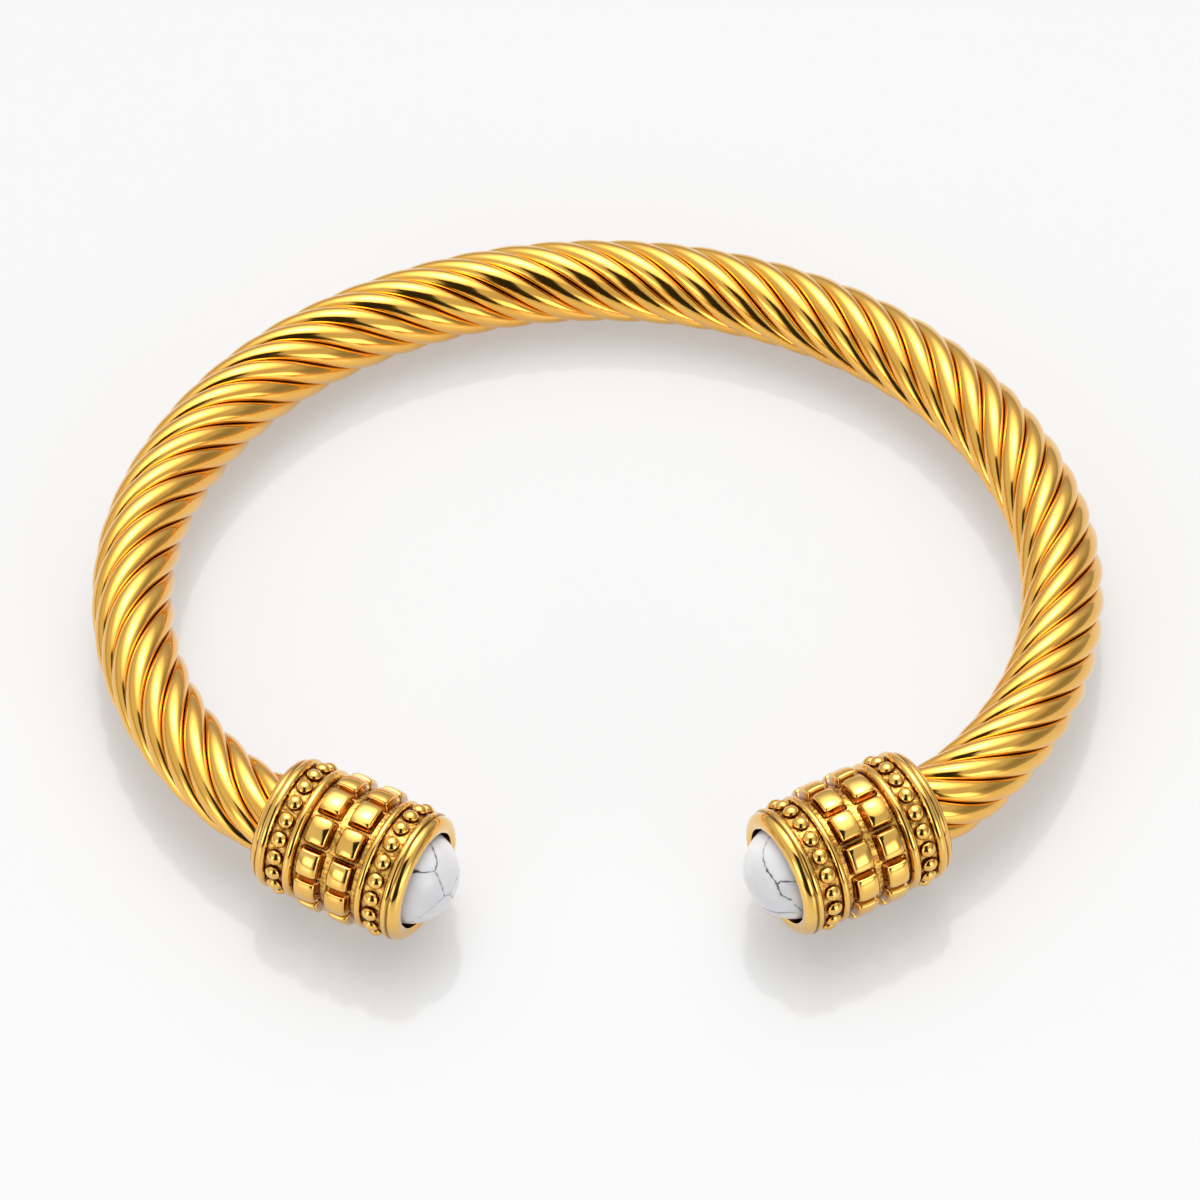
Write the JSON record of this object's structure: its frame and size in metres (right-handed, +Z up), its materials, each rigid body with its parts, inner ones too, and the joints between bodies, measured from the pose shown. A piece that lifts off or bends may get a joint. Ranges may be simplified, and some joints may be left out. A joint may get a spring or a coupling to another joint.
{
  "type": "twisted cable cuff bracelet",
  "caption": "Open oval cuff of twisted gold-coloured cable, with round end caps ringed by beads and square studs and set with white veined domed stones.",
  "frame": {"origin": "floor level under the middle of the cuff's outline, seen from above", "axes": "+Z up from the floor the cuff lies on, -Y toward the mouth between the end caps, +X toward the right cap seen from the mouth"},
  "size_m": [0.0682, 0.058, 0.0098],
  "materials": {
    "cable_gold": "polished, gold plated",
    "cap_gold": "polished, gold plated, darker in the recesses",
    "white_stone": "polished, white with fine grey veins"
  },
  "bodies": {
    "root": {"cable": "cable_gold", "end_cap_left": "cap_gold", "end_cap_right": "cap_gold", "stone_left": "white_stone", "stone_right": "white_stone"}
  },
  "joints": []
}
